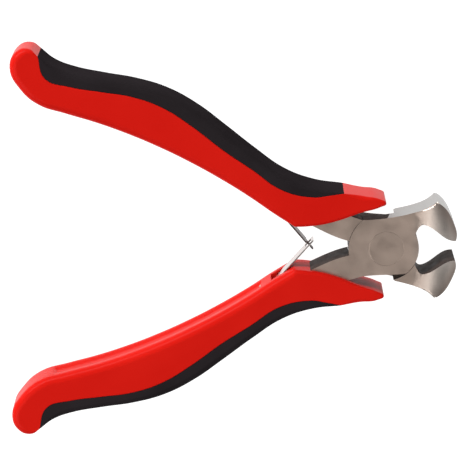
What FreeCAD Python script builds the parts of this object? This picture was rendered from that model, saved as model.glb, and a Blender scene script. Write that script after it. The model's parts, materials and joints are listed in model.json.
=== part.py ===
import FreeCAD, Part
import Sketcher
import math
import os

# Mini end cutting nipper: a lap joint on a flush rivet, two-colour sleeved
# handles, and a pair of hooked leaf springs that push the handles apart.
#
# Every piece is drawn in the frame of one half, with the blades closed. The
# pivot is the origin, +X runs to the jaws, +Y to this half's jaw, and its
# handle runs to -X below the centre line. The far half is the same drawing
# turned over about X. The placements then open both halves to the springs'
# rest position and lay the tool down on its handles.

V = FreeCAD.Vector

SIZES = {
    # jaws and lap joint
    "jaw_reach": 17.0,
    "jaw_height": 10.3,
    "crown_back": 3.4,
    "blade_width": 11.8,
    "blade_gap": 0.06,
    "blade_bevel": 0.5,
    "joint_thickness": 8.9,
    "disc_radius": 7.95,
    "shoulder_radius": 9.25,
    "seat_gap": 0.1,
    "lap_gap": 0.06,
    # pivot rivet
    "rivet_radius": 2.7,
    "rivet_head_radius": 4.3,
    "rivet_head_depth": 1.5,
    "rivet_fit": 0.04,
    # handles
    "handle_reach": 97.3,
    "handle_mouth": 23.2,
    "handle_start_drop": 1.6,
    "handle_fall": 20.4,
    "grip_width": 10.3,
    "palm_swell": 3.0,
    "red_width": 6.9,
    "red_swell": 3.0,
    "grip_thickness": 12.0,
    "grip_bevel": 1.4,
    "tang_width": 3.5,
    "tang_thickness": 4.6,
    "tang_share": 0.66,
    "sleeve_gap": 0.05,
    # leaf springs
    "leaf_thickness": 0.35,
    "leaf_width": 4.5,
    "leaf_exit": 24.2,
    "leaf_exit_drop": 2.0,
    "leaf_hook": 7.2,
    "leaf_past": 1.6,
    "leaf_root": 6.0,
    "leaf_room": 0.25,
    "tongue_width": 1.8,
    "slot_width": 2.4,
    "slot_length": 2.0,
    "seat_front": 26.6,
    "seat_drop": 4.9,
    "seat_angle": 23.7,
    "seat_length": 8.4,
    # rivets that hold the leaves
    "leaf_rivet_radius": 0.75,
    "leaf_rivet_head": 1.3,
    "leaf_rivet_rise": 0.4,
    "leaf_rivet_depth": 2.2,
    # rest position, and the pivot's place along the tool
    "half_opening": 8.2,
    "pivot_x": 0.0,
}

doc = FreeCAD.newDocument("end_nipper")
sheet = doc.addObject("Spreadsheet::Sheet", "sizes")
cells = {alias: f"B{line}" for line, alias in enumerate(SIZES, start=1)}
for alias, cell in cells.items():
    sheet.set(cell.replace("B", "A"), alias)
    sheet.set(cell, str(SIZES[alias]))
    sheet.setAlias(cell, alias)
doc.recompute()


def size(alias):
    return float(sheet.get(alias))


# ------------------------------------------------------- the handle's lines

def swell(share, start, end):
    """0 up to one share of the handle, 1 half way to the other, 0 from there on."""
    along = min(1.0, max(0.0, (share - start) / (end - start)))
    return math.sin(math.pi * along) ** 2


def station(share):
    """How far the inner edge, the colour seam and the outer edge lie below
    the centre line, at a share of the way from the sleeve's mouth to its end."""
    inner = size("handle_start_drop") + size("handle_fall") * (1 - (1 - share) ** 2)
    seam = inner + size("red_width") + size("red_swell") * swell(share, 0.20, 0.82)
    outer = inner + size("grip_width") + size("palm_swell") * swell(share, 0.12, 0.80)
    return inner, seam, outer


FIRST_SHARE = 0.06
LAST_SHARE = 0.80
SPANS = 7
SHARES = [FIRST_SHARE + (LAST_SHARE - FIRST_SHARE) * i / SPANS for i in range(SPANS + 1)]
STATIONS = [(share, *station(share)) for share in SHARES]


# ---------------------------------------------------------------- drawing

def run(*points):
    """A straight edge through two points, or a smooth one through more."""
    places = [V(x, y, 0) for x, y in points]
    if len(places) == 2:
        return Part.LineSegment(places[0], places[1])
    curve = Part.BSplineCurve()
    curve.interpolate(places)
    return curve


def arc(radius, start, end):
    """An arc about the pivot, counter-clockwise, in degrees."""
    circle = Part.Circle(V(0, 0, 0), V(0, 0, 1), radius)
    return Part.ArcOfCircle(circle, math.radians(start), math.radians(end))


def outline(*corners):
    """A closed outline of straight edges."""
    return [run(a, b) for a, b in zip(corners, corners[1:] + corners[:1])]


def polar(radius, angle):
    turn = math.radians(angle)
    return (radius * math.cos(turn), radius * math.sin(turn))


def beyond(point, angle, along, aside=0.0):
    """The point reached by going along a direction, then square to its left."""
    ahead = polar(along, angle)
    left = polar(aside, angle + 90)
    return (point[0] + ahead[0] + left[0], point[1] + ahead[1] + left[1])


def meeting(first, first_angle, second, second_angle):
    """Where two lines cross, each given by a point and a direction."""
    across = polar(1, second_angle + 90)
    gap = (second[0] - first[0]) * across[0] + (second[1] - first[1]) * across[1]
    closing = math.cos(math.radians(second_angle + 90 - first_angle))
    return beyond(first, first_angle, gap / closing)


def shrunk(rim, moves):
    """A counter-clockwise ring of points, each moved in square to the ring."""
    ring = []
    for before, point, after, inward in zip(rim[-1:] + rim[:-1], rim, rim[1:] + rim[:1], moves):
        course = math.degrees(math.atan2(after[1] - before[1], after[0] - before[0]))
        ring.append(beyond(point, course, 0, inward))
    return ring


# --------------------------------------------------------------- features

def sketch(body, name, edges, plane="XY_Plane"):
    drawing = body.newObject("Sketcher::SketchObject", name)
    face = [part for part in body.Origin.OriginFeatures if part.Role == plane][0]
    drawing.AttachmentSupport = [(face, "")]
    drawing.MapMode = "FlatFace"
    drawing.addGeometry(edges, False)
    return drawing


def pad(body, name, edges, thickness):
    """Material of a given thickness, half on each side of the lap plane."""
    feature = body.newObject("PartDesign::Pad", name)
    feature.Profile = sketch(body, name + "_outline", edges)
    feature.SideType = "Symmetric"
    feature.setExpression("Length", thickness)
    return feature


def pocket(body, name, edges, depth=None, plane="XY_Plane"):
    """A cut on both sides of a plane, right through when no depth is given."""
    feature = body.newObject("PartDesign::Pocket", name)
    feature.Profile = sketch(body, name + "_outline", edges, plane)
    feature.SideType = "Symmetric"
    if depth is None:
        feature.Type = "ThroughAll"
    else:
        feature.setExpression("Length", depth)
    return feature


def bore(body, name, radius, depth=None, start=None):
    """A round hole at the pivot, right through, or down from a height."""
    circle = Part.Circle(V(0, 0, 0), V(0, 0, 1), 1.0)
    feature = pocket(body, name, [circle], depth)
    drawing = feature.Profile[0]
    drawing.addConstraint(Sketcher.Constraint("Radius", 0, 1.0))
    drawing.setExpression("Constraints[0]", radius)
    if start is not None:
        drawing.setExpression("AttachmentOffset.Base.z", start)
        feature.SideType = "One side"
    return feature


def turned(body, kind, name, profile, plane="XY_Plane"):
    """A profile turned about its last edge, to add or to cut."""
    drawing = sketch(body, name + "_outline", outline(*profile), plane)
    feature = body.newObject("PartDesign::" + kind, name)
    feature.Profile = drawing
    feature.ReferenceAxis = (drawing, [f"Edge{len(profile)}"])
    feature.Angle = 360
    return feature


def at_rest(piece, label, turned_over):
    """Turn the far half over, open it, and lay it on the bench."""
    piece.Label = label
    flip, opening = (180, "-sizes.half_opening") if turned_over else (0, "sizes.half_opening")
    piece.setExpression(
        "Placement",
        "placement(vector(sizes.pivot_x; 0; sizes.grip_thickness / 2);"
        f" rotation(vector(0; 0; 1); {opening}) * rotation(vector(1; 0; 0); {flip}))",
    )
    return piece


# ---------------------------------------------------- places on the handle

def station_x(share):
    return -size("handle_mouth") - share * (size("handle_reach") - size("handle_mouth"))


def seat_point(along, rise):
    """A point over the spring's seat, measured back from its front end."""
    front = (-size("seat_front"), -size("seat_drop"))
    return beyond(front, size("seat_angle"), -along, rise)


def leaf_exit():
    return (-size("leaf_exit"), -size("leaf_exit_drop"))


def leaf_angle():
    """The free leaf's slope at rest, so that it meets its twin on the centre line."""
    opening = size("half_opening")
    turn = math.radians(opening)
    drop = size("leaf_exit") * math.sin(turn) + size("leaf_exit_drop") * math.cos(turn)
    return math.degrees(math.asin(drop / size("leaf_hook"))) - opening


def leaf_bend(aside):
    """Where the seated root and the free leaf meet, at an offset from the middle."""
    seat = seat_point(0, size("leaf_thickness") / 2 + aside)
    free = beyond(leaf_exit(), leaf_angle(), 0, aside)
    return meeting(seat, size("seat_angle"), free, leaf_angle())


def leaf_rivet_place():
    """How far behind the seat's front end the leaf's rivet stands."""
    front = seat_point(0, size("leaf_thickness") / 2)
    return math.dist(front, leaf_bend(0)) + size("leaf_root") / 2


# -------------------------------------------------------------- steel half

def jaw_edges():
    """The jaw's face, back and hollow, and the point where its back ends."""
    reach = size("jaw_reach")
    height = size("jaw_height")
    disc = size("disc_radius")
    edge = (reach, size("blade_gap") / 2)
    crown = (reach - size("crown_back"), height)
    root = (disc + 0.2, height - 2.1)
    face = run(edge, (reach + 0.5, 1.8), (reach + 0.1, 4.4), (reach - 1.3, height - 2.2), crown)
    back = run(crown, (crown[0] - 2.8, height - 1.5), root)
    hollow = run(
        polar(disc, 20), (disc + 0.5, 4.2), (disc + 1.4, 4.85), (disc + 2.9, 4.45),
        (reach - 4.1, 2.75), (reach - 2.2, 0.95), edge,
    )
    return face, back, hollow, root


def plate():
    """The lap plate and its jaw, seen square on."""
    disc = size("disc_radius")
    shoulder = size("shoulder_radius")
    face, back, hollow, root = jaw_edges()
    heel = polar(disc, -60)
    neck_end = (-9.0, -6.4)
    return [
        face,
        back,
        run(root, (4.2, 7.75), polar(shoulder, 121)),
        arc(shoulder, 121, 183),
        run(polar(shoulder, 183), neck_end),
        run(heel, (0.8, -6.7), (-5.2, -6.2), neck_end),
        arc(disc, -60, 20),
        hollow,
    ]


def jaw():
    """The jaw alone, ahead of the lap."""
    face, back, hollow, root = jaw_edges()
    return [face, back, run(root, polar(size("disc_radius"), 20)), hollow]


def neck(grow):
    """The shank from the lap to the spring's seat, or the room for it."""
    notch = polar(size("shoulder_radius"), 183)
    top = seat_point(0, grow)
    heel = (-7.5, -6.25 - grow)
    low = (top[0], -9.6 - grow)
    return [
        run(notch, heel),
        run(heel, (-11.8, -7.1 - grow), (-17.7, -8.4 - grow), low),
        run(low, top),
        run(top, (-20.7, -3.5 + grow), (-14.8, -1.6 + grow), notch),
    ]


def tang(grow):
    """The narrow shank inside the grip, or the room for it."""
    half = size("tang_width") / 2 + grow
    top = seat_point(0, grow)
    seat_end = seat_point(size("seat_length"), grow)
    low = (top[0], -9.6 - grow)
    middle = [
        (station_x(share) - grow, -(inner + seam) / 2)
        for share, inner, seam, outer in STATIONS
        if share < size("tang_share")
    ]
    upper = [(x, y + half) for x, y in middle[2:]]
    lower = [(x, y - half) for x, y in middle[1:]]
    return [
        run(top, seat_end),
        run(seat_end, *upper),
        run(upper[-1], lower[-1]),
        run(*reversed(lower), low),
        run(low, top),
    ]


def lap_clearance():
    """What the other half's plate sweeps, with a sloping end at the jaw's root."""
    seat = size("disc_radius") + size("seat_gap")
    recess = size("shoulder_radius") + size("seat_gap")
    return [
        arc(seat, -100, 68),
        run(polar(seat, 68), polar(recess, 61)),
        arc(recess, 61, 260),
        run(polar(recess, -100), polar(seat, -100)),
    ]


def flare(side):
    """What is cut off one face of the jaw, from its root out to the blade."""
    thin = side * size("joint_thickness") / 2
    wide = side * size("blade_width") / 2
    outside = side * size("blade_width")
    start = size("disc_radius")
    widest = size("jaw_reach") - size("crown_back")
    front = size("jaw_reach") + 1
    swell = ((start + widest) / 2, thin + (wide - thin) * 0.4)
    bevel = (front, wide - side * size("blade_bevel"))
    return [
        run((start, thin), swell, (widest, wide)),
        run((widest, wide), bevel),
        run(bevel, (front, outside)),
        run((front, outside), (start - 1, outside)),
        run((start - 1, outside), (start - 1, thin)),
        run((start - 1, thin), (start, thin)),
    ]


def leaf_rivet_hole(body):
    """A hole square to the spring's seat, for the rivet through the leaf."""
    place = leaf_rivet_place()
    radius = size("leaf_rivet_radius")
    depth = size("leaf_rivet_depth")
    above = size("leaf_thickness") * 3
    corners = [(place, above), (place + radius, above), (place + radius, -depth), (place, -depth)]
    turned(body, "Groove", "leaf_rivet_hole", [seat_point(*corner) for corner in corners])


def steel_half(label, fit, turned_over):
    """One forged half: jaw, lap plate, neck and tang in one piece."""
    body = doc.addObject("PartDesign::Body", label)
    pad(body, "plate", plate(), "sizes.joint_thickness")
    pad(body, "neck", neck(0), "sizes.joint_thickness")
    pad(body, "tang", tang(0), "sizes.tang_thickness")
    pad(body, "jaw", jaw(), "sizes.blade_width")
    pocket(body, "flare_above", flare(1), plane="XZ_Plane")
    pocket(body, "flare_below", flare(-1), plane="XZ_Plane")
    lap = pocket(body, "lap", lap_clearance())
    lap.SideType = "One side"
    lap.Profile[0].setExpression("AttachmentOffset.Base.z", "sizes.lap_gap / 2")
    bore(body, "pivot_bore", "sizes.rivet_radius" + fit)
    depth = "sizes.rivet_head_depth" + fit
    bore(body, "rivet_recess", "sizes.rivet_head_radius" + fit, depth, "sizes.joint_thickness / 2")
    leaf_rivet_hole(body)
    return at_rest(body, label, turned_over)


def pivot_rivet():
    """A pin with a flush head let into each half."""
    body = doc.addObject("PartDesign::Body", "pivot_rivet")
    top = size("joint_thickness") / 2
    under = top - size("rivet_head_depth")
    shank = size("rivet_radius")
    head = size("rivet_head_radius")
    profile = [
        (0, top), (head, top), (head, under), (shank, under),
        (shank, -under), (head, -under), (head, -top), (0, -top),
    ]
    turned(body, "Revolution", "pin", profile, "XZ_Plane")
    return at_rest(body, "pivot_rivet", False)


# ------------------------------------------------------------------- grips

def grip_side(inward):
    """The whole handle sleeve, red and black together, shrunk all round."""
    corner = (-size("handle_mouth"), -2.1)
    top = [(station_x(share), -drop) for share, drop, seam, outer in STATIONS]
    hook = [
        (0.89, 22.3), (0.955, 25.3), (1.0, 30.2), (0.985, 34.5), (0.945, 35.7), (0.90, 33.7),
    ]
    hook = [(station_x(share), -drop) for share, drop in hook]
    bottom = [(station_x(share), -drop) for share, inner, seam, drop in reversed(STATIONS)]
    belly = [(-19.7, -12.5), (-11.8, -12.4), (-3.6, -12.3)]
    nose = [(-2.0, -11.5), (-3.2, -10.4)]
    mouth = [(-7.9, -8.1), (-11.8, -5.9), (-15.8, -4.05), (-19.7, -2.85)]
    rim = [corner, *top, *hook, *bottom, *belly, *nose, *mouth]
    tip = len(rim) - len(mouth) - len(nose)
    # the thin nose has room for a third of the bevel
    rim = shrunk(rim, [inward / 3 if x > mouth[0][0] else inward for x, y in rim])
    return [run(*rim[:tip]), run(*rim[tip - 1:tip + 2]), run(*rim[tip + 1:], rim[0])]


def inlay_side():
    """A region that takes in all of the handle beyond the colour seam."""
    seam = [(station_x(share), -drop) for share, inner, drop, outer in STATIONS]
    hook_end = (station_x(0.915), -34.6)
    nose_end = (-12.6, -12.9)
    below = -size("handle_reach")
    return [
        run(nose_end, (-16.4, -11.2), (-19.7, -10.3), *seam, (station_x(0.88), -29.2), hook_end),
        run(hook_end, (hook_end[0], below)),
        run((hook_end[0], below), (nose_end[0], below)),
        run((nose_end[0], below), nose_end),
    ]


def spring_room():
    """The slot through which the leaf reaches its seat on the tang."""
    room = size("leaf_thickness") / 2 + size("leaf_room")
    roof = size("leaf_thickness") + size("leaf_rivet_rise") + size("sleeve_gap")
    back = leaf_rivet_place() + size("leaf_root") / 2 + size("leaf_room")
    seat = size("seat_angle")
    free = leaf_angle()
    over = beyond(leaf_exit(), free, 0, room)
    under = beyond(leaf_exit(), free, 0, -room)
    return outline(
        seat_point(back, 0),
        seat_point(back, roof),
        meeting(seat_point(0, roof), seat, over, free),
        beyond(over, free, size("leaf_exit_drop")),
        beyond(under, free, size("leaf_exit_drop")),
        meeting(seat_point(0, 0), seat, under, free),
    )


def grip_blank(name):
    """The sleeve before its two colours are told apart."""
    body = doc.addObject("PartDesign::Body", name)
    pad(body, "side", grip_side(0), "sizes.grip_thickness - 2 * sizes.grip_bevel")
    for face, sign in (("near", ""), ("far", "-")):
        level = f"{sign}(sizes.grip_thickness / 2 - sizes.grip_bevel)"
        wide = sketch(body, face + "_rim", grip_side(0))
        wide.setExpression("AttachmentOffset.Base.z", level)
        narrow = sketch(body, face + "_face", grip_side(size("grip_bevel")))
        narrow.setExpression("AttachmentOffset.Base.z", f"{sign}sizes.grip_thickness / 2")
        bevel = body.newObject("PartDesign::AdditiveLoft", face + "_bevel")
        bevel.Profile = wide
        bevel.Sections = [narrow]
    pocket(body, "neck_room", neck(size("sleeve_gap")), "sizes.joint_thickness + 2 * sizes.sleeve_gap")
    pocket(body, "tang_room", tang(size("sleeve_gap")), "sizes.tang_thickness + 2 * sizes.sleeve_gap")
    pocket(body, "spring_room", spring_room(), "sizes.leaf_width + 2 * sizes.leaf_room")
    return body


def grip_pair(side_name, turned_over):
    """The red grip and the black inlay along its outer side."""
    blank = grip_blank(side_name + "_blank")
    region = doc.addObject("PartDesign::Body", side_name + "_inlay_region")
    pad(region, "band", inlay_side(), "2 * sizes.grip_thickness")
    grip = doc.addObject("Part::Cut", side_name + "_grip")
    inlay = doc.addObject("Part::Common", side_name + "_inlay")
    for piece in (grip, inlay):
        piece.Base = blank
        piece.Tool = region
    return [
        at_rest(grip, side_name + "_grip", turned_over),
        at_rest(inlay, side_name + "_inlay", turned_over),
    ]


# ------------------------------------------------------------ leaf springs

def leaf_side():
    """The leaf on edge: a root along the seat, then the free blade."""
    half = size("leaf_thickness") / 2
    root = leaf_rivet_place() + size("leaf_root") / 2
    tip = size("leaf_hook") + size("leaf_past")
    return outline(
        seat_point(root, 0),
        leaf_bend(-half),
        beyond(leaf_exit(), leaf_angle(), tip, -half),
        beyond(leaf_exit(), leaf_angle(), tip, half),
        leaf_bend(half),
        seat_point(root, 2 * half),
    )


def leaf_along(distance):
    """How far along X a point of the free leaf is."""
    return beyond(leaf_exit(), leaf_angle(), distance)[0]


def leaf_spring(label, cuts, turned_over):
    body = doc.addObject("PartDesign::Body", label)
    pad(body, "strip", leaf_side(), "sizes.leaf_width")
    for name, edges in cuts.items():
        pocket(body, name, edges, plane="XZ_Plane")
    leaf_rivet_hole(body)
    return at_rest(body, label, turned_over)


def slotted_leaf():
    """The near half's leaf, with a slot that its twin's tongue goes through."""
    half = size("slot_width") / 2
    start = leaf_along(size("leaf_hook") - size("slot_length") / 2)
    end = leaf_along(size("leaf_hook") + size("slot_length") / 2)
    slot = outline((start, -half), (end, -half), (end, half), (start, half))
    return leaf_spring("lower_leaf_spring", {"slot": slot}, False)


def tongued_leaf():
    """The far half's leaf, narrowed to a tongue."""
    start = leaf_along(size("leaf_hook") - size("slot_length") / 2)
    end = leaf_along(size("leaf_hook") + 2 * size("leaf_past"))
    cuts = {}
    for name, side in (("tongue_above", 1), ("tongue_below", -1)):
        near = side * size("tongue_width") / 2
        far = side * size("leaf_width")
        cuts[name] = outline((start, near), (end, near), (end, far), (start, far))
    return leaf_spring("upper_leaf_spring", cuts, True)


def leaf_rivet(label, turned_over):
    """A small rivet that pins a leaf's root to the tang."""
    body = doc.addObject("PartDesign::Body", label)
    place = leaf_rivet_place()
    under = size("leaf_thickness")
    crown = under + size("leaf_rivet_rise")
    shank = place + size("leaf_rivet_radius")
    head = place + size("leaf_rivet_head")
    depth = -size("leaf_rivet_depth")
    profile = [(place, crown), (head, crown), (head, under), (shank, under), (shank, depth), (place, depth)]
    turned(body, "Revolution", "pin", [seat_point(*corner) for corner in profile])
    return at_rest(body, label, turned_over)


# ---------------------------------------------------------------- the tool

pieces = [
    steel_half("front_half", "", False),
    steel_half("rear_half", " + sizes.rivet_fit", True),
    pivot_rivet(),
    *grip_pair("lower", False),
    *grip_pair("upper", True),
    slotted_leaf(),
    tongued_leaf(),
    leaf_rivet("lower_spring_rivet", False),
    leaf_rivet("upper_spring_rivet", True),
]
doc.recompute()

# The origin is at the middle of the length at rest.
boxes = [piece.Shape.optimalBoundingBox(False) for piece in pieces]
middle = (min(box.XMin for box in boxes) + max(box.XMax for box in boxes)) / 2
sheet.set(cells["pivot_x"], str(round(-middle, 3)))
doc.recompute()

for item in doc.Objects:
    if "Invalid" in item.State or "Error" in item.State:
        raise RuntimeError(f"{item.Name} failed: {item.State}")
os.makedirs("parts", exist_ok=True)
for piece in pieces:
    shape = piece.Shape
    if shape.isNull() or not shape.isValid():
        raise RuntimeError(f"{piece.Label} has no valid solid")
    if len(shape.Solids) != 1:
        raise RuntimeError(f"{piece.Label} has {len(shape.Solids)} solids")
    shape.exportStep(f"parts/{piece.Label}.step")
    print(f"{piece.Label}: {shape.Volume:.1f} mm3")
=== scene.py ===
import json
import math

import bpy
from mathutils import Matrix, Vector


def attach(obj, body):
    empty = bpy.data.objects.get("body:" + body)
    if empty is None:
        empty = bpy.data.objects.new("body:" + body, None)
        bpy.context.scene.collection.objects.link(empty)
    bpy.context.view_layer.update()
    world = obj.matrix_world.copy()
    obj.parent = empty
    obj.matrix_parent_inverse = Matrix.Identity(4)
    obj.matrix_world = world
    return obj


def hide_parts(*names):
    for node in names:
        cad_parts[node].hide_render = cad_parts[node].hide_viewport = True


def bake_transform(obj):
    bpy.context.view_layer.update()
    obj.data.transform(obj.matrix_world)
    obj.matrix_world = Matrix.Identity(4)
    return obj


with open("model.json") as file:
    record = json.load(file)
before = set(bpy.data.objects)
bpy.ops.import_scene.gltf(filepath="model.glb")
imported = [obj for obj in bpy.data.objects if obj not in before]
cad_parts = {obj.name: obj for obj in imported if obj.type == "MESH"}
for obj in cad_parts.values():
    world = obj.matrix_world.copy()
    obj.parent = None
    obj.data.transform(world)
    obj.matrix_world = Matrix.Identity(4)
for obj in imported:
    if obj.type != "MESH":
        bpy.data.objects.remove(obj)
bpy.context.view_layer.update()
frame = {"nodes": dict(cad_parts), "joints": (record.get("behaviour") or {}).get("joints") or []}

MM = 0.001


# -------------------------------------------------------- the steel halves
# Two drop-forged halves of tool steel, each a jaw, a lap plate, a neck and a
# tang in one piece. The broad faces are bead-blasted, the jaws and their outer
# flanks are ground, and all other flanks are painted dark as their shade.

joints = {joint["name"]: joint for joint in frame["joints"]}
pivot_point = Vector(joints["pivot"]["pos_m"])
half_opening = math.radians(joints["pivot"]["range_deg"][1]) / 2
HALF_EDGE = 0.16 * MM
BROAD_FACE = 3.0 * MM
FLANK_TILT = 0.25

# the ridge across the jaw's broad faces, and how steep they are before and after it
CROWN_AT = 13.6 * MM
CROWN_REACH = 2.4 * MM
CROWN_RISE = 0.351
CROWN_FALL = 0.111
CROWN_STEPS = 5

# the jaw's outline: its root, its front as a sloping line, and its back
JAW_ROOT = 8.4 * MM
FRONT_SLOPE = 0.55
FRONT_LINE = 17.4 * MM
BACK_LINE = 7.3 * MM
JAW_EDGE = 0.8 * MM
ROOT_FADE = 3.2 * MM
LEVEL_SHARE = 0.6
SHARP_TURN = 0.9

# where the blasted steel turns ground along the jaw, and where painted shade darkens its curved front
GROUND_FROM = 6.0 * MM
GROUND_TO = 14.0 * MM
FRONT_SHADE = 16.0 * MM
FRONT_SHADE_FADE = 3.4 * MM

# the back of the plate, which is ground as the jaw's back is
PLATE_BACK_START = 2.0 * MM
PLATE_BACK_LINE = 5.8 * MM


def at_rest(turned_over):
    """Where a half lies that is drawn closed, with the pivot as its origin."""
    flip = Matrix.Rotation(math.pi if turned_over else 0.0, 4, "X")
    opening = Matrix.Rotation(-half_opening if turned_over else half_opening, 4, "Z")
    return Matrix.Translation(pivot_point) @ opening @ flip


def take_up(piece):
    """Make one piece the only one that is selected, and the active one."""
    if bpy.context.object and bpy.context.object.mode != "OBJECT":
        bpy.ops.object.mode_set(mode="OBJECT")
    bpy.ops.object.select_all(action="DESELECT")
    piece.select_set(True)
    bpy.context.view_layer.objects.active = piece
    return piece


def settle(piece, place):
    """Move a finished piece to its place, and keep the place in its mesh."""
    take_up(piece)
    piece.matrix_world = place
    bpy.ops.object.transform_apply(location=True, rotation=True, scale=True)


def smooth(piece, degrees):
    """Shade a piece smooth up to an angle, and keep its large faces flat."""
    take_up(piece)
    bpy.ops.object.shade_smooth_by_angle(angle=math.radians(degrees))
    flats = piece.modifiers.new("flat_faces", "WEIGHTED_NORMAL")
    flats.keep_sharp = True
    bpy.ops.object.modifier_apply(modifier=flats.name)


def machined_copy(node, name):
    """A copy of a forged or turned part, with its facets joined into faces."""
    part = frame["nodes"][node].copy()
    part.data = part.data.copy()
    part.name = name
    part.parent = None
    bpy.context.scene.collection.objects.link(part)
    take_up(part)
    part.data.materials.clear()
    bpy.ops.object.mode_set(mode="EDIT")
    bpy.ops.mesh.select_all(action="SELECT")
    bpy.ops.mesh.remove_doubles(threshold=0.002 * MM)
    bpy.ops.mesh.customdata_custom_splitnormals_clear()
    bpy.ops.mesh.dissolve_limited(angle_limit=math.radians(0.6))
    bpy.ops.object.mode_set(mode="OBJECT")
    return part


def ease_edges(piece, width, segments, limit="ANGLE", degrees=32, profile=0.5):
    """Take the sharpness off edges, either all sharp ones or the weighted ones."""
    take_up(piece)
    bevel = piece.modifiers.new("eased_edges", "BEVEL")
    bevel.width = width
    bevel.segments = segments
    bevel.limit_method = limit
    bevel.angle_limit = math.radians(degrees)
    bevel.profile = profile
    bevel.use_clamp_overlap = limit == "ANGLE"
    bevel.miter_outer = "MITER_ARC"
    bpy.ops.object.modifier_apply(modifier=bevel.name)


def nodes_of(material):
    return material.node_tree.nodes


def join(material, output, socket):
    material.node_tree.links.new(output, socket)


def new_finish(name, colour, roughness, metallic=0.0, specular=0.5):
    finish = bpy.data.materials.new(name)
    finish.use_nodes = True
    shader = nodes_of(finish)["Principled BSDF"]
    shader.inputs["Base Color"].default_value = (*colour, 1.0)
    shader.inputs["Roughness"].default_value = roughness
    shader.inputs["Metallic"].default_value = metallic
    shader.inputs["Specular IOR Level"].default_value = specular
    return finish


def grain(material, scale, detail=3.0, stretch=(1.0, 1.0, 1.0)):
    """A noise pattern fixed in the piece, and drawn out where stretch is small."""
    place = nodes_of(material).new("ShaderNodeTexCoord")
    spread = nodes_of(material).new("ShaderNodeMapping")
    spread.inputs["Scale"].default_value = stretch
    join(material, place.outputs["Object"], spread.inputs["Vector"])
    noise = nodes_of(material).new("ShaderNodeTexNoise")
    noise.inputs["Scale"].default_value = scale
    noise.inputs["Detail"].default_value = detail
    join(material, spread.outputs["Vector"], noise.inputs["Vector"])
    return noise.outputs["Fac"]


def between(material, factor, low, high, start=0.3, end=0.7):
    """A value that goes from low to high as the factor goes from start to end."""
    level = nodes_of(material).new("ShaderNodeMapRange")
    level.inputs["From Min"].default_value = start
    level.inputs["From Max"].default_value = end
    level.inputs["To Min"].default_value = low
    level.inputs["To Max"].default_value = high
    join(material, factor, level.inputs["Value"])
    return level.outputs["Result"]


def blended(material, factor, first, second):
    """A colour that goes from the first to the second, each a colour or a socket."""
    mix = nodes_of(material).new("ShaderNodeMix")
    mix.data_type = "RGBA"
    join(material, factor, mix.inputs["Factor"])
    for socket, colour in ((mix.inputs["A"], first), (mix.inputs["B"], second)):
        if isinstance(colour, tuple):
            socket.default_value = (*colour, 1.0)
        else:
            join(material, colour, socket)
    return mix.outputs["Result"]


def relief(material, height, strength, depth, under=None):
    """A bump on the surface, laid over another bump where one is given."""
    bump = nodes_of(material).new("ShaderNodeBump")
    bump.inputs["Strength"].default_value = strength
    bump.inputs["Distance"].default_value = depth
    join(material, height, bump.inputs["Height"])
    if under is not None:
        join(material, under, bump.inputs["Normal"])
    return bump.outputs["Normal"]


def dress(material, colour, roughness, normal):
    """Give a finish its patterns of colour, roughness and relief."""
    shader = nodes_of(material)["Principled BSDF"]
    join(material, colour, shader.inputs["Base Color"])
    join(material, roughness, shader.inputs["Roughness"])
    join(material, normal, shader.inputs["Normal"])


def place_of(material):
    """Where a point of the surface lies in the tool, axis by axis."""
    place = nodes_of(material).new("ShaderNodeTexCoord")
    split = nodes_of(material).new("ShaderNodeSeparateXYZ")
    join(material, place.outputs["Object"], split.inputs["Vector"])
    return split.outputs


def front_shade_mask(material):
    """0 on the body of the jaws, rising to 1 at the curved front of both, where shade is painted."""
    place = place_of(material)
    aside = nodes_of(material).new("ShaderNodeMath")
    aside.operation = "ABSOLUTE"
    join(material, place["Y"], aside.inputs[0])
    reach = nodes_of(material).new("ShaderNodeMath")
    reach.operation = "MULTIPLY_ADD"
    join(material, aside.outputs["Value"], reach.inputs[0])
    reach.inputs[1].default_value = FRONT_SLOPE
    join(material, place["X"], reach.inputs[2])
    start = pivot_point.x + FRONT_SHADE
    return between(material, reach.outputs["Value"], 0.0, 1.0, start, start + FRONT_SHADE_FADE)


def blasted_steel():
    steel = new_finish("bead_blasted_steel", (0.3, 0.27, 0.24), 0.4, metallic=1.0)
    cloud = grain(steel, 260.0, 4.0)
    beads = grain(steel, 9000.0, 2.0)
    streaks = grain(steel, 1500.0, 4.0, (0.25, 1.0, 1.0))
    plate = blended(steel, cloud, (0.49, 0.38, 0.315), (0.56, 0.44, 0.37))
    ground = blended(steel, streaks, (0.42, 0.375, 0.34), (0.54, 0.49, 0.45))
    start = pivot_point.x + GROUND_FROM
    jaw = between(steel, place_of(steel)["X"], 0.0, 1.0, start, pivot_point.x + GROUND_TO)
    body = blended(steel, jaw, plate, ground)
    scratches = relief(steel, streaks, 0.12, 0.02 * MM)
    dress(
        steel,
        # painted shade: the curved front of both jaws is tinted towards brown in place of the shade
        # its rounding would cast
        blended(steel, front_shade_mask(steel), body, (0.25, 0.205, 0.18)),
        between(steel, cloud, 0.36, 0.46),
        relief(steel, beads, 0.25, 0.02 * MM, scratches),
    )
    return steel


def painted_shade_flank():
    # painted shade: the inner flanks get a near-black, matt, barely reflective colour that stands in
    # for their shade
    scale = new_finish("painted_shade_flank", (0.05, 0.032, 0.026), 0.5, specular=0.03)
    patches = grain(scale, 500.0, 5.0)
    dress(
        scale,
        blended(scale, patches, (0.02, 0.012, 0.009), (0.05, 0.032, 0.026)),
        between(scale, patches, 0.38, 0.55),
        relief(scale, patches, 0.3, 0.05 * MM),
    )
    return scale


def ground_flank():
    steel = new_finish("ground_flank", (0.4, 0.39, 0.38), 0.42, metallic=1.0)
    streaks = grain(steel, 1500.0, 4.0, (1.0, 1.0, 0.25))
    dress(
        steel,
        blended(steel, streaks, (0.34, 0.33, 0.32), (0.44, 0.43, 0.42)),
        between(steel, streaks, 0.38, 0.48),
        relief(steel, streaks, 0.12, 0.02 * MM),
    )
    return steel


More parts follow.
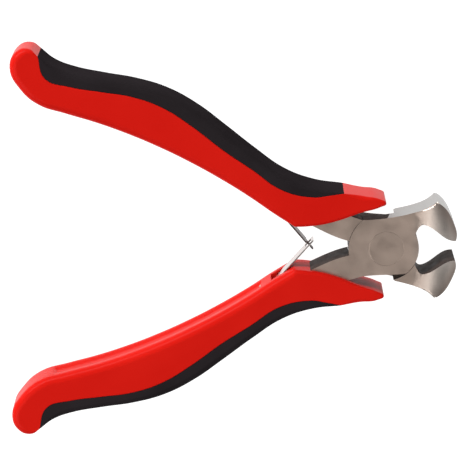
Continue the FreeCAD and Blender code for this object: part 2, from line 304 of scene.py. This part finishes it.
def slice_across(piece, point, normal):
    """Cut a piece's faces where a plane meets them."""
    take_up(piece)
    bpy.ops.object.mode_set(mode="EDIT")
    bpy.ops.mesh.select_all(action="SELECT")
    bpy.ops.mesh.bisect(plane_co=point, plane_no=normal)
    bpy.ops.object.mode_set(mode="OBJECT")


def round_crown(half, place):
    """Turn the ridge across the jaw's broad faces into an even swell."""
    across = place.to_3x3() @ Vector((1.0, 0.0, 0.0))
    for step in range(-CROWN_STEPS, CROWN_STEPS + 1):
        at = CROWN_AT + CROWN_REACH * step / CROWN_STEPS
        slice_across(half, place @ Vector((at, 0.0, 0.0)), across)
    from_row = place.inverted()
    for vertex in half.data.vertices:
        point = from_row @ vertex.co
        past = point.x - CROWN_AT
        if abs(past) < CROWN_REACH and abs(point.z) > BROAD_FACE:
            left = CROWN_REACH - abs(past)
            lower = (CROWN_RISE + CROWN_FALL) * left ** 2 / (4 * CROWN_REACH)
            point.z -= math.copysign(lower, point.z)
            vertex.co = place @ point


def outside_of_jaw(x, y):
    """Whether a point of the jaw's outline is on its face or back."""
    return x > JAW_ROOT and (x + FRONT_SLOPE * y > FRONT_LINE or y > BACK_LINE)


def round_jaw(half, from_row):
    """Round the long edges of the jaw's back, from nothing at its root, up to the crown."""
    mesh = half.data
    weights = mesh.attributes.new("bevel_weight_edge", "FLOAT", "EDGE")
    walls = {}
    for face in mesh.polygons:
        for key in face.edge_keys:
            walls.setdefault(key, []).append(face.normal)
    for edge in mesh.edges:
        ends = [from_row @ mesh.vertices[i].co for i in edge.vertices]
        middle = (ends[0] + ends[1]) / 2
        normals = walls[edge.key]
        back = middle.x < CROWN_AT and outside_of_jaw(middle.x, middle.y)
        if len(normals) != 2 or not back:
            continue
        level = abs(ends[0].z - ends[1].z) < LEVEL_SHARE * (ends[0] - ends[1]).length
        sharp = normals[0].angle(normals[1], 0.0) > SHARP_TURN
        if level and sharp and abs(middle.z) > BROAD_FACE:
            from_root = (middle.x - JAW_ROOT) / ROOT_FADE
            weights.data[edge.index].value = max(0.0, min(1.0, from_root))
    ease_edges(half, JAW_EDGE, 5, limit="WEIGHT")
    weights = mesh.attributes.get("bevel_weight_edge")
    if weights is not None:
        mesh.attributes.remove(weights)


def steel_half(node, body, turned_over, finishes):
    half = machined_copy(node, node + "_forging")
    from_row = at_rest(turned_over).inverted()
    round_jaw(half, from_row)
    ease_edges(half, HALF_EDGE, 2)
    round_crown(half, at_rest(turned_over))
    for finish in finishes:
        half.data.materials.append(finish)
    for face in half.data.polygons:
        centre = from_row @ face.center
        back = centre.x > PLATE_BACK_START and centre.y > PLATE_BACK_LINE
        outside = back or outside_of_jaw(centre.x, centre.y)
        # flanks on the jaw's outside and the plate's back are ground steel; all other flanks take the
        # painted shade
        if abs(face.normal.z) < FLANK_TILT:
            face.material_index = 2 if outside else 1
    smooth(half, 30)
    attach(half, body)
    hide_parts(node)


steel_finishes = [blasted_steel(), painted_shade_flank(), ground_flank()]
steel_half("front_half", "front", False, steel_finishes)
steel_half("rear_half", "rear", True, steel_finishes)


# --------------------------------------------------------- the pivot rivet
# A steel pin with a flush head let into each plate. The head is peened tight
# and ground off with the plate, so that only a fine ring shows round it.

RIVET_EDGE = 0.1 * MM


def rivet_steel():
    steel = new_finish("rivet_steel", (0.27, 0.235, 0.205), 0.38, metallic=1.0)
    cloud = grain(steel, 300.0, 4.0)
    beads = grain(steel, 9000.0, 2.0)
    dress(
        steel,
        blended(steel, cloud, (0.48, 0.372, 0.308), (0.55, 0.432, 0.362)),
        between(steel, cloud, 0.35, 0.44),
        relief(steel, beads, 0.25, 0.02 * MM),
    )
    return steel


rivet_finish = rivet_steel()
rivet = machined_copy("pivot_rivet", "pivot_pin")
ease_edges(rivet, RIVET_EDGE, 2)
rivet.data.materials.append(rivet_finish)
smooth(rivet, 30)
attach(rivet, "front")
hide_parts("pivot_rivet")


# -------------------------------------------------------- the leaf springs
# Two strips of spring steel that push the handles apart. Each is bent once,
# riveted to its tang under the sleeve, and comes out through a slot in it. The
# far one is painted dark as its shade, and its tongue goes through a slot in the near, bright one.

LEAF_ROOT = (-33.6, -7.79)
LEAF_BEND = (-28.11, -5.375)
LEAF_EXIT = (-24.2, -2.0)
LEAF_SLOPE = math.radians(40.77)
LEAF_HOOK = 7.2
LEAF_LENGTH = 8.8
LEAF_WIDTH = 4.5 * MM
LEAF_THICKNESS = 0.35 * MM
LEAF_EDGE = 0.05 * MM
TONGUE_WIDTH = 1.8
SLOT_WIDTH = 2.4
SLOT_LENGTH = 2.0
HOOKED = (LEAF_HOOK - SLOT_LENGTH / 2, LEAF_HOOK + SLOT_LENGTH / 2)

# the strip's cross lines, as distances from where it leaves the sleeve
CROSS_LINES = (
    -4.2, -3.0, -2.0, -1.2, -0.5, 0.5, 1.2, 2.4, 3.8, 5.2, *HOOKED,
    LEAF_LENGTH - 0.25, LEAF_LENGTH,
)


def point_on_leaf(distance):
    """A point of the free leaf, measured from where it leaves the sleeve."""
    return (
        LEAF_EXIT[0] + distance * math.cos(LEAF_SLOPE),
        LEAF_EXIT[1] + distance * math.sin(LEAF_SLOPE),
    )


def spring_steel(name, dark, light, metallic):
    steel = new_finish(name, light, 0.22, metallic=metallic, specular=0.05)
    rolled = grain(steel, 1200.0, 3.0, (1.0, 1.0, 0.15))
    dress(
        steel,
        blended(steel, rolled, dark, light),
        between(steel, rolled, 0.18, 0.3),
        relief(steel, rolled, 0.15, 0.01 * MM),
    )
    return steel


def bent_strip(name):
    """A flat strip, drawn out from its root, over the bend, to its tip."""
    middle = ((LEAF_ROOT[0] + LEAF_BEND[0]) / 2, (LEAF_ROOT[1] + LEAF_BEND[1]) / 2)
    route = [LEAF_ROOT, middle, LEAF_BEND]
    route += [point_on_leaf(distance) for distance in CROSS_LINES]
    start = Vector((*LEAF_ROOT, 0.0)) * MM
    bpy.ops.object.select_all(action="DESELECT")
    on_edge = (0.0, math.pi / 2, 0.0)
    bpy.ops.mesh.primitive_plane_add(size=LEAF_WIDTH, location=start, rotation=on_edge)
    strip = bpy.context.object
    strip.name = name
    bpy.ops.object.transform_apply(location=True, rotation=True, scale=True)
    bpy.ops.object.mode_set(mode="EDIT")
    bpy.ops.mesh.select_mode(type="VERT")
    bpy.ops.mesh.select_all(action="SELECT")
    bpy.ops.mesh.merge(type="CENTER")
    bpy.ops.transform.translate(value=(0.0, 0.0, -LEAF_WIDTH / 2))
    bpy.ops.mesh.extrude_region_move(TRANSFORM_OT_translate={"value": (0.0, 0.0, LEAF_WIDTH)})
    bpy.ops.mesh.select_all(action="SELECT")
    bpy.ops.mesh.subdivide(number_cuts=9)
    for before, after in zip(route, route[1:]):
        step = Vector((after[0] - before[0], after[1] - before[1], 0.0)) * MM
        bpy.ops.mesh.extrude_region_move(TRANSFORM_OT_translate={"value": step})
    bpy.ops.object.mode_set(mode="OBJECT")
    return strip


def choose_faces(piece, chosen):
    """Open a piece for editing, with only the faces selected that are chosen."""
    take_up(piece)
    bpy.ops.object.mode_set(mode="EDIT")
    bpy.ops.mesh.select_all(action="DESELECT")
    bpy.ops.mesh.select_mode(type="FACE")
    bpy.ops.object.mode_set(mode="OBJECT")
    for face in piece.data.polygons:
        face.select = chosen(face)
    bpy.ops.object.mode_set(mode="EDIT")


def cut_strip(strip, first, last, keep):
    """Remove the strip's faces between two distances whose height isn't kept."""
    direction = Vector((math.cos(LEAF_SLOPE), math.sin(LEAF_SLOPE), 0.0))
    exit_point = Vector((*LEAF_EXIT, 0.0)) * MM

    def cut_away(face):
        distance = (face.center - exit_point).dot(direction) / MM
        return first < distance < last and not keep(abs(face.center.z) / MM)

    choose_faces(strip, cut_away)
    bpy.ops.mesh.delete(type="FACE")
    bpy.ops.object.mode_set(mode="OBJECT")


def leaf(name, node, turned_over, finish, cut):
    strip = bent_strip(name)
    cut_strip(strip, *cut)
    wall = strip.modifiers.new("strip_thickness", "SOLIDIFY")
    wall.thickness = LEAF_THICKNESS
    wall.offset = 0.0
    take_up(strip)
    bpy.ops.object.modifier_apply(modifier=wall.name)
    bpy.ops.object.mode_set(mode="EDIT")
    bpy.ops.mesh.select_all(action="SELECT")
    bpy.ops.mesh.normals_make_consistent(inside=False)
    bpy.ops.object.mode_set(mode="OBJECT")
    ease_edges(strip, LEAF_EDGE, 2, degrees=50)
    strip.data.materials.append(finish)
    smooth(strip, 35)
    place = at_rest(turned_over)
    settle(strip, place)
    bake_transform(strip)
    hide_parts(node)


bright_leaf = spring_steel("bright_spring_steel", (0.5, 0.46, 0.44), (0.68, 0.64, 0.61), 1.0)
# painted shade: the far leaf is the same spring steel in a dark, nearly non-metallic colour standing
# in for its shade
shaded_leaf_finish = spring_steel("painted_shade_spring_steel", (0.045, 0.03, 0.027), (0.09, 0.065, 0.058), 0.1)
slot_cut = (*HOOKED, lambda height: height > SLOT_WIDTH / 2)
tongue_cut = (HOOKED[0], LEAF_LENGTH, lambda height: height < TONGUE_WIDTH / 2)
leaf("slotted_leaf", "lower_leaf_spring", False, bright_leaf, slot_cut)
leaf("tongued_leaf", "upper_leaf_spring", True, shaded_leaf_finish, tongue_cut)
for node in ("lower_spring_rivet", "upper_spring_rivet"):
    frame["nodes"][node].data.materials.clear()
    frame["nodes"][node].data.materials.append(rivet_finish)


# --------------------------------------------------------- the red sleeves
# A hard, glossy red sleeve is moulded over each tang. Its rims are well
# rounded, a shallow channel runs down its inner face, a slot there lets the
# leaf out, and its end turns out into a round hook.

GRIP_DEPTH = 12.0 * MM
GRIP_RIM = 2.0 * MM

# the handle's lines, with shares of the way from the sleeve's mouth to its end
HANDLE_MOUTH = 23.2
HANDLE_REACH = 97.3
START_DROP = 1.6
HANDLE_FALL = 20.4
RED_WIDTH = 6.9
RED_SWELL = 3.0
RED_SWELL_SPAN = (0.20, 0.82)
GRIP_WIDTH = 10.3
PALM_SWELL = 3.0
PALM_SWELL_SPAN = (0.12, 0.80)
FIRST_SHARE = 0.06
LAST_SHARE = 0.80
SPANS = 7
SHARES = [FIRST_SHARE + (LAST_SHARE - FIRST_SHARE) * i / SPANS for i in range(SPANS + 1)]

# the channel down the inner face, and the slot for the leaf
BAND_EDGE = 2.6 * MM
CHANNEL_SPAN = (-86.0, -31.5)
CHANNEL_NEAR = 1.2
CHANNEL_RIM = 0.7 * MM
CHANNEL_DEPTH = 0.45 * MM
LEAF_SLOT_SPAN = (-28.9, -23.6)
LEAF_SLOT_FLOOR = -5.5
LEAF_SLOT_RIM = 0.1 * MM
LEAF_SLOT_DEPTH = 1.5 * MM

# the rims along the flanks, along the seam, at the nose and at the mouth
RED_RIM_SHARE = 0.55
RED_RIM_MARGIN = 0.4
SEAM_RIM = 0.22
SEAM_END_RIM = 0.05
SEAM_TAPER = 6.0
NOSE_RIM = 0.6 * MM
NOSE_BACK = -7.0
NOSE_TOP = -8.0
MOUTH_RIM = 0.8 * MM
MOUTH_BACK = -23.0
MOUTH_NEAR = 0.5


def swell(share, start, end):
    """0 up to one share of the handle, 1 half way to the other, 0 from there on."""
    way = min(1.0, max(0.0, (share - start) / (end - start)))
    return math.sin(math.pi * way) ** 2


def along_handle(share):
    return -HANDLE_MOUTH - share * (HANDLE_REACH - HANDLE_MOUTH)


def inner_drop(share):
    """How far the sleeve's inner edge lies below the tool's centre line."""
    return START_DROP + HANDLE_FALL * (1 - (1 - share) ** 2)


def seam_drop(share):
    return inner_drop(share) + RED_WIDTH + RED_SWELL * swell(share, *RED_SWELL_SPAN)


def outer_drop(share):
    return inner_drop(share) + GRIP_WIDTH + PALM_SWELL * swell(share, *PALM_SWELL_SPAN)


inner_edge = [(along_handle(share), -inner_drop(share)) for share in SHARES]
inner_edge = [*inner_edge, (-89.15, -22.3)]
hook_end = [(-93.97, -25.3), (-97.3, -30.2), (-96.19, -34.5), (-93.23, -35.65)]
seam_at_hook = (-90.9, -34.35)
seam = [(along_handle(share), -seam_drop(share)) for share in reversed(SHARES)]
seam = [(-88.41, -29.2), *seam, (-19.7, -10.3), (-16.4, -11.2)]
seam_at_nose = (-12.6, -12.43)
nose = [(-7.8, -12.4), (-3.6, -12.3), (-2.0, -11.5), (-3.2, -10.4)]
mouth = [(-7.9, -8.1), (-11.8, -5.9), (-15.8, -4.05), (-19.7, -2.85)]
mouth_corner = (-23.2, -2.1)


def flat_outline(name, stretches, fineness=6):
    """A closed outline of smooth stretches, given with the sharp corners between."""
    knots = []
    for corner, stretch in stretches:
        knots.append((corner, "VECTOR"))
        knots += [(knot, "AUTO") for knot in stretch]
    drawing = bpy.data.curves.new(name, "CURVE")
    drawing.dimensions = "2D"
    drawing.fill_mode = "NONE"
    drawing.resolution_u = fineness
    line = drawing.splines.new("BEZIER")
    line.use_cyclic_u = True
    line.bezier_points.add(len(knots) - 1)
    for point, (knot, kind) in zip(line.bezier_points, knots):
        point.co = (knot[0] * MM, knot[1] * MM, 0.0)
        point.handle_left_type = kind
        point.handle_right_type = kind
    outline = bpy.data.objects.new(name, drawing)
    bpy.context.scene.collection.objects.link(outline)
    take_up(outline)
    bpy.ops.object.convert(target="MESH")
    return bpy.context.object


def slab(outline, depth):
    """Fill a flat outline and give it thickness, half on each side."""
    take_up(outline)
    bpy.ops.object.mode_set(mode="EDIT")
    bpy.ops.mesh.select_all(action="SELECT")
    bpy.ops.mesh.remove_doubles(threshold=0.01 * MM)
    bpy.ops.mesh.edge_face_add()
    bpy.ops.transform.translate(value=(0.0, 0.0, -depth / 2))
    bpy.ops.mesh.extrude_region_move(TRANSFORM_OT_translate={"value": (0.0, 0.0, depth)})
    bpy.ops.mesh.select_all(action="SELECT")
    bpy.ops.mesh.normals_make_consistent(inside=False)
    bpy.ops.object.mode_set(mode="OBJECT")
    return outline


def distance_to(x, y, line):
    """How far a point is from a line of straight stretches, in millimetres."""
    nearest = math.inf
    for (ax, ay), (bx, by) in zip(line, line[1:]):
        stretch = (bx - ax) ** 2 + (by - ay) ** 2
        share = max(0.0, min(1.0, ((x - ax) * (bx - ax) + (y - ay) * (by - ay)) / stretch))
        nearest = min(nearest, math.hypot(ax + share * (bx - ax) - x, ay + share * (by - ay) - y))
    return nearest


def softened(values, rounds=12):
    """Even out a closed ring of values, so that nothing along it changes abruptly."""
    for _ in range(rounds):
        ring = zip(values[-1:] + values[:-1], values, values[1:] + values[:1])
        values = [(before + at + after) / 3 for before, at, after in ring]
    return values


def rim_face(piece, side):
    """The slab's broad face on one side."""
    broad = [face for face in piece.data.polygons if face.normal.z * side > 0.9]
    return max(broad, key=lambda face: (len(face.vertices), face.area))


def round_rim(piece, side, radius, steps=6):
    """Draw one broad face up and in, step by step, over a rim of changing radius."""
    take_up(piece)
    mesh = piece.data
    ring = [mesh.vertices[i].co.copy() for i in rim_face(piece, side).vertices]
    around = list(zip(ring[-1:] + ring[:-1], ring, ring[1:] + ring[:1]))
    inward = [
        Vector((before.y - after.y, after.x - before.x, 0.0)).normalized() * side
        for before, at, after in around
    ]
    radii = [radius(point.x / MM, point.y / MM) for point in ring]
    radii = [min(r, soft) for r, soft in zip(radii, softened(radii))]
    radii = softened(radii, 3)
    for step in range(steps + 1):
        rise = math.radians(90.0 * step / steps)
        if step:
            broad = rim_face(piece, side).index
            choose_faces(piece, lambda face: face.index == broad)
            lift = (0.0, 0.0, side * 0.01 * MM)
            bpy.ops.mesh.extrude_region_move(TRANSFORM_OT_translate={"value": lift})
            bpy.ops.object.mode_set(mode="OBJECT")
        corners = list(rim_face(piece, side).vertices)
        if step:
            # the ring starts again at the corner it started from before the step
            gaps = [(mesh.vertices[corner].co - last).length for corner in corners]
            first = gaps.index(min(gaps))
            corners = corners[first:] + corners[:first]
        for corner, point, way, r in zip(corners, ring, inward, radii):
            place = point + way * r * (1.0 - math.cos(rise))
            place.z = point.z - side * r * (1.0 - math.sin(rise))
            mesh.vertices[corner].co = place
        last = mesh.vertices[corners[0]].co.copy()


def draw_in(piece, chosen, rim, depth):
    """Sink the chosen faces a little, with a sloping rim round them."""
    choose_faces(piece, chosen)
    bpy.ops.mesh.inset(thickness=rim, depth=-depth)
    bpy.ops.object.mode_set(mode="OBJECT")


def seam_radius(x, y):
    """The seam's own rims are only just broken, and less still at its two ends."""
    ends = min(math.dist((x, y), seam_at_hook), math.dist((x, y), seam_at_nose))
    return (SEAM_END_RIM + (SEAM_RIM - SEAM_END_RIM) * min(1.0, ends / SEAM_TAPER)) * MM


def red_radius(x, y):
    to_seam = distance_to(x, y, [seam_at_hook, *seam, seam_at_nose])
    radius = min(GRIP_RIM, RED_RIM_SHARE * (to_seam - RED_RIM_MARGIN) * MM)
    if x > NOSE_BACK and y < NOSE_TOP:
        radius = min(radius, NOSE_RIM)
    at_mouth = distance_to(x, y, [nose[-1], *mouth, mouth_corner]) < MOUTH_NEAR
    if x > MOUTH_BACK and at_mouth:
        radius = min(radius, MOUTH_RIM)
    return max(seam_radius(x, y), radius)


def on_band(face, span):
    """Whether a flank face lies between the two level cuts and within a span."""
    between_cuts = abs(face.center.z) < BAND_EDGE and abs(face.normal.z) < 0.1
    return between_cuts and span[0] < face.center.x / MM < span[1]


def in_channel(face):
    near = distance_to(face.center.x / MM, face.center.y / MM, inner_edge) < CHANNEL_NEAR
    return near and on_band(face, CHANNEL_SPAN)


def in_leaf_slot(face):
    return face.center.y / MM > LEAF_SLOT_FLOOR and on_band(face, LEAF_SLOT_SPAN)


def red_sleeve():
    sleeve = slab(
        flat_outline("sleeve", [
            (mouth_corner, inner_edge + hook_end), (seam_at_hook, seam), (seam_at_nose, nose + mouth),
        ]),
        GRIP_DEPTH,
    )
    for level in (-BAND_EDGE, BAND_EDGE):
        slice_across(sleeve, (0.0, 0.0, level), (0.0, 0.0, 1.0))
    draw_in(sleeve, in_channel, CHANNEL_RIM, CHANNEL_DEPTH)
    draw_in(sleeve, in_leaf_slot, LEAF_SLOT_RIM, LEAF_SLOT_DEPTH)
    for side in (1, -1):
        round_rim(sleeve, side, red_radius)
    smooth(sleeve, 38)
    return sleeve


def red_plastic():
    plastic = new_finish("glossy_red_sleeve", (0.5, 0.008, 0.005), 0.3, specular=0.028)
    cloud = grain(plastic, 60.0, 3.0)
    peel = grain(plastic, 1800.0, 2.0)
    dress(
        plastic,
        blended(plastic, cloud, (0.5, 0.007, 0.004), (0.6, 0.011, 0.006)),
        between(plastic, cloud, 0.26, 0.34),
        relief(plastic, peel, 0.1, 0.05 * MM),
    )
    return plastic


def fit_pair(piece, name, finish, nodes):
    """Fit one moulding to the near half, and its twin, turned over, to the far one."""
    piece.data.materials.append(finish)
    twin = piece.copy()
    twin.data = piece.data.copy()
    bpy.context.scene.collection.objects.link(twin)
    for side, moulding, node, body, turned_over in (
        ("lower_", piece, nodes[0], "front", False),
        ("upper_", twin, nodes[1], "rear", True),
    ):
        moulding.name = side + name
        settle(moulding, at_rest(turned_over))
        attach(moulding, body)
        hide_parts(node)


fit_pair(red_sleeve(), "sleeve", red_plastic(), ("lower_grip", "upper_grip"))


# -------------------------------------------------------- the black inlays
# A softer, matt black inlay is moulded into the outer side of each sleeve,
# where the fingers and the palm lie. It tapers out to nothing at both ends,
# and a fine groove parts it from the red.

INLAY_DEPTH = 11.9 * MM
INLAY_RIM = 1.7 * MM
INLAY_RIM_SHARE = 0.6
INLAY_RIM_MARGIN = 0.5
outer_edge = [(along_handle(share), -outer_drop(share)) for share in SHARES]
outer_edge = [(-19.7, -12.5), *outer_edge, (-87.6, -32.6)]


def black_radius(x, y):
    to_seam = distance_to(x, y, [seam_at_hook, *seam, seam_at_nose])
    radius = min(INLAY_RIM, INLAY_RIM_SHARE * (to_seam - INLAY_RIM_MARGIN) * MM)
    return max(seam_radius(x, y), radius)


def black_inlay():
    drawing = flat_outline("inlay", [(seam_at_nose, outer_edge), (seam_at_hook, seam)])
    inlay = slab(drawing, INLAY_DEPTH)
    for side in (1, -1):
        round_rim(inlay, side, black_radius)
    smooth(inlay, 38)
    return inlay


def black_rubber():
    rubber = new_finish("matt_black_inlay", (0.012, 0.01, 0.011), 0.5, specular=0.0)
    cloud = grain(rubber, 90.0, 4.0)
    skin = grain(rubber, 3200.0, 3.0)
    dress(
        rubber,
        blended(rubber, cloud, (0.012, 0.0095, 0.0105), (0.024, 0.02, 0.022)),
        between(rubber, cloud, 0.44, 0.54),
        relief(rubber, skin, 0.25, 0.06 * MM),
    )
    return rubber


fit_pair(black_inlay(), "inlay", black_rubber(), ("lower_inlay", "upper_inlay"))


# ------------------------------------------------- the table and the light
# The tool lies on a plain table that glows white. A long, low box behind on the
# left lights the edges that face away, and two large ones in front, left and
# right, light the top. The room gives a faint light that is weaker overhead.

TABLE_GLOW = 0.98
ROOM_LOW = 0.3
ROOM_OVERHEAD = 0.2

def white_table():
    table = new_finish("white_table", (0.3, 0.3, 0.3), 0.8, specular=0.0)
    shader = nodes_of(table)["Principled BSDF"]
    shader.inputs["Emission Color"].default_value = (1.0, 1.0, 1.0, 1.0)
    shader.inputs["Emission Strength"].default_value = TABLE_GLOW
    return table


def soft_box(name, place, width, height, power):
    """A light that faces the tool."""
    bpy.ops.object.select_all(action="DESELECT")
    bpy.ops.object.light_add(type="AREA", location=place)
    box = bpy.context.object
    box.name = name
    box.data.shape = "RECTANGLE"
    box.data.size = width
    box.data.size_y = height
    box.data.energy = power
    box.rotation_euler = (-Vector(place)).to_track_quat("-Z", "Y").to_euler()


bpy.ops.object.select_all(action="DESELECT")
bpy.ops.mesh.primitive_plane_add(size=3.0, location=(0.0, 0.0, -0.1 * MM))
table = bpy.context.object
table.name = "table"
table.data.materials.append(white_table())

soft_box("box_behind_left", (-0.6, 0.7, 0.3), 0.8, 0.1, 11.0)
soft_box("box_left", (-0.6, -0.3, 0.6), 0.7, 0.7, 5.0)
soft_box("box_right", (0.6, -0.3, 0.6), 0.9, 0.7, 3.0)

world = bpy.data.worlds.new("soft_room")
bpy.context.scene.world = world
world.use_nodes = True
room = world.node_tree.nodes["Background"]
heading = world.node_tree.nodes.new("ShaderNodeTexCoord")
split = world.node_tree.nodes.new("ShaderNodeSeparateXYZ")
shade = world.node_tree.nodes.new("ShaderNodeMapRange")
shade.inputs["From Min"].default_value = 0.25
shade.inputs["From Max"].default_value = 1.0
shade.inputs["To Min"].default_value = ROOM_LOW
shade.inputs["To Max"].default_value = ROOM_OVERHEAD
world.node_tree.links.new(heading.outputs["Generated"], split.inputs["Vector"])
world.node_tree.links.new(split.outputs["Z"], shade.inputs["Value"])
world.node_tree.links.new(shade.outputs["Result"], room.inputs["Strength"])
room.inputs["Color"].default_value = (1.0, 1.0, 1.0, 1.0)
bpy.context.scene.view_settings.view_transform = "Standard"

CAMERA_PLACE = Vector((0.00035, 0.16627, 0.66040))
CAMERA_TILT = math.radians(14.1)
CAMERA_ROLL = math.radians(0.73)
CAMERA_LENS = 209.9
bpy.ops.object.camera_add(location=CAMERA_PLACE)
camera = bpy.context.object
ahead = Vector((0.0, -math.sin(CAMERA_TILT), -math.cos(CAMERA_TILT)))
level_up = Vector((0.0, math.cos(CAMERA_TILT), -math.sin(CAMERA_TILT)))
level_right = Vector((1.0, 0.0, 0.0))
right = level_right * math.cos(CAMERA_ROLL) + level_up * math.sin(CAMERA_ROLL)
up = level_up * math.cos(CAMERA_ROLL) - level_right * math.sin(CAMERA_ROLL)
turn = Matrix((right, up, -ahead)).transposed()
camera.matrix_world = Matrix.Translation(CAMERA_PLACE) @ turn.to_4x4()
camera.data.lens = CAMERA_LENS
camera.data.sensor_width = 36.0
camera.data.clip_start = 0.01
bpy.context.scene.camera = camera
